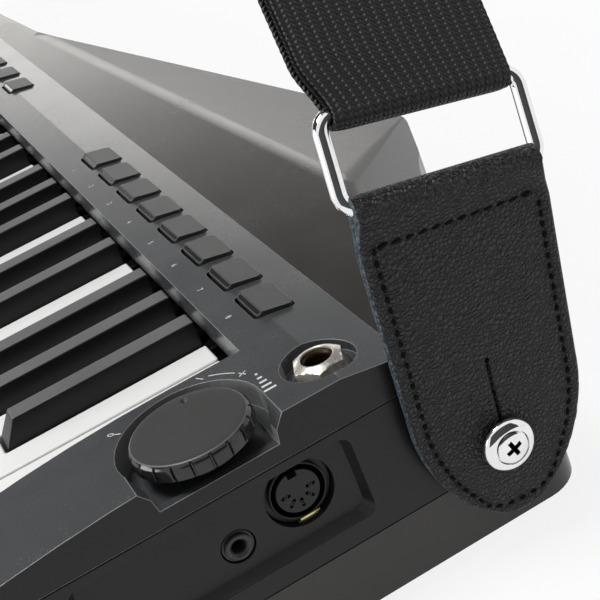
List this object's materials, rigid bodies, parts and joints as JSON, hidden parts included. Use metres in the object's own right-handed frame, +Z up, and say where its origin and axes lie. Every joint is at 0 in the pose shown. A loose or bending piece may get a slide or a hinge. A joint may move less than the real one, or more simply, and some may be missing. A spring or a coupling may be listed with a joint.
{
  "type": "keytar",
  "caption": "Keyboard worn on a strap like a guitar, with mini keys, pad buttons, a volume knob and a pointed wing behind a long neck.",
  "frame": {"origin": "middle of the footprint, on the surface that the back rests on", "axes": "+X from the neck to the tail, +Y from the front of the keys to the back edge, +Z up from the back to the keys"},
  "size_m": [0.8374, 0.2512, 0.4559],
  "materials": {
    "body_paint": "satin",
    "panel_paint": "satin",
    "case_plastic": "satin",
    "white_key": "gloss",
    "black_key": "satin",
    "button_plastic": "satin",
    "knob_plastic": "satin",
    "socket_plastic": "satin",
    "chrome_metal": "polished",
    "strap_leather": "matte",
    "strap_fabric": "matte"
  },
  "bodies": {
    "instrument": {"body": "body_paint", "top_panel": "panel_paint", "module_case": "case_plastic", "output_jack": "chrome_metal", "socket_board": "socket_plastic", "strap_button_tail": "chrome_metal", "strap_button_neck": "chrome_metal", "strap_leather_tail": "strap_leather", "strap_leather_neck": "strap_leather", "strap_ring": "chrome_metal", "strap_webbing": "strap_fabric"},
    "key_c_1": {"key_c_1": "white_key"},
    "key_d_1": {"key_d_1": "white_key"},
    "key_e_1": {"key_e_1": "white_key"},
    "key_f_1": {"key_f_1": "white_key"},
    "key_g_1": {"key_g_1": "white_key"},
    "key_a_1": {"key_a_1": "white_key"},
    "key_b_1": {"key_b_1": "white_key"},
    "key_c_2": {"key_c_2": "white_key"},
    "key_d_2": {"key_d_2": "white_key"},
    "key_e_2": {"key_e_2": "white_key"},
    "key_f_2": {"key_f_2": "white_key"},
    "key_g_2": {"key_g_2": "white_key"},
    "key_a_2": {"key_a_2": "white_key"},
    "key_b_2": {"key_b_2": "white_key"},
    "key_c_3": {"key_c_3": "white_key"},
    "key_d_3": {"key_d_3": "white_key"},
    "key_e_3": {"key_e_3": "white_key"},
    "key_f_3": {"key_f_3": "white_key"},
    "key_g_3": {"key_g_3": "white_key"},
    "key_a_3": {"key_a_3": "white_key"},
    "key_b_3": {"key_b_3": "white_key"},
    "key_c_4": {"key_c_4": "white_key"},
    "key_c_sharp_1": {"key_c_sharp_1": "black_key"},
    "key_d_sharp_1": {"key_d_sharp_1": "black_key"},
    "key_f_sharp_1": {"key_f_sharp_1": "black_key"},
    "key_g_sharp_1": {"key_g_sharp_1": "black_key"},
    "key_a_sharp_1": {"key_a_sharp_1": "black_key"},
    "key_c_sharp_2": {"key_c_sharp_2": "black_key"},
    "key_d_sharp_2": {"key_d_sharp_2": "black_key"},
    "key_f_sharp_2": {"key_f_sharp_2": "black_key"},
    "key_g_sharp_2": {"key_g_sharp_2": "black_key"},
    "key_a_sharp_2": {"key_a_sharp_2": "black_key"},
    "key_c_sharp_3": {"key_c_sharp_3": "black_key"},
    "key_d_sharp_3": {"key_d_sharp_3": "black_key"},
    "key_f_sharp_3": {"key_f_sharp_3": "black_key"},
    "key_g_sharp_3": {"key_g_sharp_3": "black_key"},
    "key_a_sharp_3": {"key_a_sharp_3": "black_key"},
    "pad_button_8": {"pad_button_8": "button_plastic"},
    "pad_button_7": {"pad_button_7": "button_plastic"},
    "pad_button_6": {"pad_button_6": "button_plastic"},
    "pad_button_5": {"pad_button_5": "button_plastic"},
    "pad_button_4": {"pad_button_4": "button_plastic"},
    "pad_button_3": {"pad_button_3": "button_plastic"},
    "pad_button_2": {"pad_button_2": "button_plastic"},
    "pad_button_1": {"pad_button_1": "button_plastic"},
    "function_button_3": {"function_button_3": "button_plastic"},
    "function_button_2": {"function_button_2": "button_plastic"},
    "function_button_1": {"function_button_1": "button_plastic"},
    "volume_knob": {"volume_knob": "knob_plastic"}
  },
  "joints": [
    {"name": "key_c_1_press", "type": "hinge", "parent": "instrument", "child": "key_c_1", "pos_m": [-0.05285, 0.01944, 0.048], "axis": [1, 0, 0], "range_deg": [0, 3.6], "stiffness_Nm_per_rad": 0.6, "springref_deg": -3.44},
    {"name": "key_d_1_press", "type": "hinge", "parent": "instrument", "child": "key_d_1", "pos_m": [-0.03325, 0.01944, 0.048], "axis": [1, 0, 0], "range_deg": [0, 3.6], "stiffness_Nm_per_rad": 0.6, "springref_deg": -3.44},
    {"name": "key_e_1_press", "type": "hinge", "parent": "instrument", "child": "key_e_1", "pos_m": [-0.01365, 0.01944, 0.048], "axis": [1, 0, 0], "range_deg": [0, 3.6], "stiffness_Nm_per_rad": 0.6, "springref_deg": -3.44},
    {"name": "key_f_1_press", "type": "hinge", "parent": "instrument", "child": "key_f_1", "pos_m": [0.00595, 0.01944, 0.048], "axis": [1, 0, 0], "range_deg": [0, 3.6], "stiffness_Nm_per_rad": 0.6, "springref_deg": -3.44},
    {"name": "key_g_1_press", "type": "hinge", "parent": "instrument", "child": "key_g_1", "pos_m": [0.02555, 0.01944, 0.048], "axis": [1, 0, 0], "range_deg": [0, 3.6], "stiffness_Nm_per_rad": 0.6, "springref_deg": -3.44},
    {"name": "key_a_1_press", "type": "hinge", "parent": "instrument", "child": "key_a_1", "pos_m": [0.04515, 0.01944, 0.048], "axis": [1, 0, 0], "range_deg": [0, 3.6], "stiffness_Nm_per_rad": 0.6, "springref_deg": -3.44},
    {"name": "key_b_1_press", "type": "hinge", "parent": "instrument", "child": "key_b_1", "pos_m": [0.06475, 0.01944, 0.048], "axis": [1, 0, 0], "range_deg": [0, 3.6], "stiffness_Nm_per_rad": 0.6, "springref_deg": -3.44},
    {"name": "key_c_2_press", "type": "hinge", "parent": "instrument", "child": "key_c_2", "pos_m": [0.08435, 0.01944, 0.048], "axis": [1, 0, 0], "range_deg": [0, 3.6], "stiffness_Nm_per_rad": 0.6, "springref_deg": -3.44},
    {"name": "key_d_2_press", "type": "hinge", "parent": "instrument", "child": "key_d_2", "pos_m": [0.10395, 0.01944, 0.048], "axis": [1, 0, 0], "range_deg": [0, 3.6], "stiffness_Nm_per_rad": 0.6, "springref_deg": -3.44},
    {"name": "key_e_2_press", "type": "hinge", "parent": "instrument", "child": "key_e_2", "pos_m": [0.12355, 0.01944, 0.048], "axis": [1, 0, 0], "range_deg": [0, 3.6], "stiffness_Nm_per_rad": 0.6, "springref_deg": -3.44},
    {"name": "key_f_2_press", "type": "hinge", "parent": "instrument", "child": "key_f_2", "pos_m": [0.14315, 0.01944, 0.048], "axis": [1, 0, 0], "range_deg": [0, 3.6], "stiffness_Nm_per_rad": 0.6, "springref_deg": -3.44},
    {"name": "key_g_2_press", "type": "hinge", "parent": "instrument", "child": "key_g_2", "pos_m": [0.16275, 0.01944, 0.048], "axis": [1, 0, 0], "range_deg": [0, 3.6], "stiffness_Nm_per_rad": 0.6, "springref_deg": -3.44},
    {"name": "key_a_2_press", "type": "hinge", "parent": "instrument", "child": "key_a_2", "pos_m": [0.18235, 0.01944, 0.048], "axis": [1, 0, 0], "range_deg": [0, 3.6], "stiffness_Nm_per_rad": 0.6, "springref_deg": -3.44},
    {"name": "key_b_2_press", "type": "hinge", "parent": "instrument", "child": "key_b_2", "pos_m": [0.20195, 0.01944, 0.048], "axis": [1, 0, 0], "range_deg": [0, 3.6], "stiffness_Nm_per_rad": 0.6, "springref_deg": -3.44},
    {"name": "key_c_3_press", "type": "hinge", "parent": "instrument", "child": "key_c_3", "pos_m": [0.22155, 0.01944, 0.048], "axis": [1, 0, 0], "range_deg": [0, 3.6], "stiffness_Nm_per_rad": 0.6, "springref_deg": -3.44},
    {"name": "key_d_3_press", "type": "hinge", "parent": "instrument", "child": "key_d_3", "pos_m": [0.24115, 0.01944, 0.048], "axis": [1, 0, 0], "range_deg": [0, 3.6], "stiffness_Nm_per_rad": 0.6, "springref_deg": -3.44},
    {"name": "key_e_3_press", "type": "hinge", "parent": "instrument", "child": "key_e_3", "pos_m": [0.26075, 0.01944, 0.048], "axis": [1, 0, 0], "range_deg": [0, 3.6], "stiffness_Nm_per_rad": 0.6, "springref_deg": -3.44},
    {"name": "key_f_3_press", "type": "hinge", "parent": "instrument", "child": "key_f_3", "pos_m": [0.28035, 0.01944, 0.048], "axis": [1, 0, 0], "range_deg": [0, 3.6], "stiffness_Nm_per_rad": 0.6, "springref_deg": -3.44},
    {"name": "key_g_3_press", "type": "hinge", "parent": "instrument", "child": "key_g_3", "pos_m": [0.29995, 0.01944, 0.048], "axis": [1, 0, 0], "range_deg": [0, 3.6], "stiffness_Nm_per_rad": 0.6, "springref_deg": -3.44},
    {"name": "key_a_3_press", "type": "hinge", "parent": "instrument", "child": "key_a_3", "pos_m": [0.31955, 0.01944, 0.048], "axis": [1, 0, 0], "range_deg": [0, 3.6], "stiffness_Nm_per_rad": 0.6, "springref_deg": -3.44},
    {"name": "key_b_3_press", "type": "hinge", "parent": "instrument", "child": "key_b_3", "pos_m": [0.33915, 0.01944, 0.048], "axis": [1, 0, 0], "range_deg": [0, 3.6], "stiffness_Nm_per_rad": 0.6, "springref_deg": -3.44},
    {"name": "key_c_4_press", "type": "hinge", "parent": "instrument", "child": "key_c_4", "pos_m": [0.35875, 0.01944, 0.048], "axis": [1, 0, 0], "range_deg": [0, 3.6], "stiffness_Nm_per_rad": 0.6, "springref_deg": -3.44},
    {"name": "key_c_sharp_1_press", "type": "hinge", "parent": "instrument", "child": "key_c_sharp_1", "pos_m": [-0.045, 0.01944, 0.048], "axis": [1, 0, 0], "range_deg": [0, 3.6], "stiffness_Nm_per_rad": 0.6, "springref_deg": -3.44},
    {"name": "key_d_sharp_1_press", "type": "hinge", "parent": "instrument", "child": "key_d_sharp_1", "pos_m": [-0.0215, 0.01944, 0.048], "axis": [1, 0, 0], "range_deg": [0, 3.6], "stiffness_Nm_per_rad": 0.6, "springref_deg": -3.44},
    {"name": "key_f_sharp_1_press", "type": "hinge", "parent": "instrument", "child": "key_f_sharp_1", "pos_m": [0.01315, 0.01944, 0.048], "axis": [1, 0, 0], "range_deg": [0, 3.6], "stiffness_Nm_per_rad": 0.6, "springref_deg": -3.44},
    {"name": "key_g_sharp_1_press", "type": "hinge", "parent": "instrument", "child": "key_g_sharp_1", "pos_m": [0.03535, 0.01944, 0.048], "axis": [1, 0, 0], "range_deg": [0, 3.6], "stiffness_Nm_per_rad": 0.6, "springref_deg": -3.44},
    {"name": "key_a_sharp_1_press", "type": "hinge", "parent": "instrument", "child": "key_a_sharp_1", "pos_m": [0.05755, 0.01944, 0.048], "axis": [1, 0, 0], "range_deg": [0, 3.6], "stiffness_Nm_per_rad": 0.6, "springref_deg": -3.44},
    {"name": "key_c_sharp_2_press", "type": "hinge", "parent": "instrument", "child": "key_c_sharp_2", "pos_m": [0.0922, 0.01944, 0.048], "axis": [1, 0, 0], "range_deg": [0, 3.6], "stiffness_Nm_per_rad": 0.6, "springref_deg": -3.44},
    {"name": "key_d_sharp_2_press", "type": "hinge", "parent": "instrument", "child": "key_d_sharp_2", "pos_m": [0.1157, 0.01944, 0.048], "axis": [1, 0, 0], "range_deg": [0, 3.6], "stiffness_Nm_per_rad": 0.6, "springref_deg": -3.44},
    {"name": "key_f_sharp_2_press", "type": "hinge", "parent": "instrument", "child": "key_f_sharp_2", "pos_m": [0.15035, 0.01944, 0.048], "axis": [1, 0, 0], "range_deg": [0, 3.6], "stiffness_Nm_per_rad": 0.6, "springref_deg": -3.44},
    {"name": "key_g_sharp_2_press", "type": "hinge", "parent": "instrument", "child": "key_g_sharp_2", "pos_m": [0.17255, 0.01944, 0.048], "axis": [1, 0, 0], "range_deg": [0, 3.6], "stiffness_Nm_per_rad": 0.6, "springref_deg": -3.44},
    {"name": "key_a_sharp_2_press", "type": "hinge", "parent": "instrument", "child": "key_a_sharp_2", "pos_m": [0.19475, 0.01944, 0.048], "axis": [1, 0, 0], "range_deg": [0, 3.6], "stiffness_Nm_per_rad": 0.6, "springref_deg": -3.44},
    {"name": "key_c_sharp_3_press", "type": "hinge", "parent": "instrument", "child": "key_c_sharp_3", "pos_m": [0.2294, 0.01944, 0.048], "axis": [1, 0, 0], "range_deg": [0, 3.6], "stiffness_Nm_per_rad": 0.6, "springref_deg": -3.44},
    {"name": "key_d_sharp_3_press", "type": "hinge", "parent": "instrument", "child": "key_d_sharp_3", "pos_m": [0.2529, 0.01944, 0.048], "axis": [1, 0, 0], "range_deg": [0, 3.6], "stiffness_Nm_per_rad": 0.6, "springref_deg": -3.44},
    {"name": "key_f_sharp_3_press", "type": "hinge", "parent": "instrument", "child": "key_f_sharp_3", "pos_m": [0.28755, 0.01944, 0.048], "axis": [1, 0, 0], "range_deg": [0, 3.6], "stiffness_Nm_per_rad": 0.6, "springref_deg": -3.44},
    {"name": "key_g_sharp_3_press", "type": "hinge", "parent": "instrument", "child": "key_g_sharp_3", "pos_m": [0.30975, 0.01944, 0.048], "axis": [1, 0, 0], "range_deg": [0, 3.6], "stiffness_Nm_per_rad": 0.6, "springref_deg": -3.44},
    {"name": "key_a_sharp_3_press", "type": "hinge", "parent": "instrument", "child": "key_a_sharp_3", "pos_m": [0.33195, 0.01944, 0.048], "axis": [1, 0, 0], "range_deg": [0, 3.6], "stiffness_Nm_per_rad": 0.6, "springref_deg": -3.44},
    {"name": "pad_button_8_press", "type": "slide", "parent": "instrument", "child": "pad_button_8", "axis": [0, 0, -1], "range_m": [0, 0.0012], "stiffness_N_per_m": 800, "springref_m": -0.0006},
    {"name": "pad_button_7_press", "type": "slide", "parent": "instrument", "child": "pad_button_7", "axis": [0, 0, -1], "range_m": [0, 0.0012], "stiffness_N_per_m": 800, "springref_m": -0.0006},
    {"name": "pad_button_6_press", "type": "slide", "parent": "instrument", "child": "pad_button_6", "axis": [0, 0, -1], "range_m": [0, 0.0012], "stiffness_N_per_m": 800, "springref_m": -0.0006},
    {"name": "pad_button_5_press", "type": "slide", "parent": "instrument", "child": "pad_button_5", "axis": [0, 0, -1], "range_m": [0, 0.0012], "stiffness_N_per_m": 800, "springref_m": -0.0006},
    {"name": "pad_button_4_press", "type": "slide", "parent": "instrument", "child": "pad_button_4", "axis": [0, 0, -1], "range_m": [0, 0.0012], "stiffness_N_per_m": 800, "springref_m": -0.0006},
    {"name": "pad_button_3_press", "type": "slide", "parent": "instrument", "child": "pad_button_3", "axis": [0, 0, -1], "range_m": [0, 0.0012], "stiffness_N_per_m": 800, "springref_m": -0.0006},
    {"name": "pad_button_2_press", "type": "slide", "parent": "instrument", "child": "pad_button_2", "axis": [0, 0, -1], "range_m": [0, 0.0012], "stiffness_N_per_m": 800, "springref_m": -0.0006},
    {"name": "pad_button_1_press", "type": "slide", "parent": "instrument", "child": "pad_button_1", "axis": [0, 0, -1], "range_m": [0, 0.0012], "stiffness_N_per_m": 800, "springref_m": -0.0006},
    {"name": "function_button_3_press", "type": "slide", "parent": "instrument", "child": "function_button_3", "axis": [0, 0, -1], "range_m": [0, 0.0012], "stiffness_N_per_m": 800, "springref_m": -0.0006},
    {"name": "function_button_2_press", "type": "slide", "parent": "instrument", "child": "function_button_2", "axis": [0, 0, -1], "range_m": [0, 0.0012], "stiffness_N_per_m": 800, "springref_m": -0.0006},
    {"name": "function_button_1_press", "type": "slide", "parent": "instrument", "child": "function_button_1", "axis": [0, 0, -1], "range_m": [0, 0.0012], "stiffness_N_per_m": 800, "springref_m": -0.0006},
    {"name": "volume_knob_turn", "type": "hinge", "parent": "instrument", "child": "volume_knob", "pos_m": [0.3934, -0.02416, 0.064], "axis": [0, 0, 1], "range_deg": [-238, 62]}
  ]
}
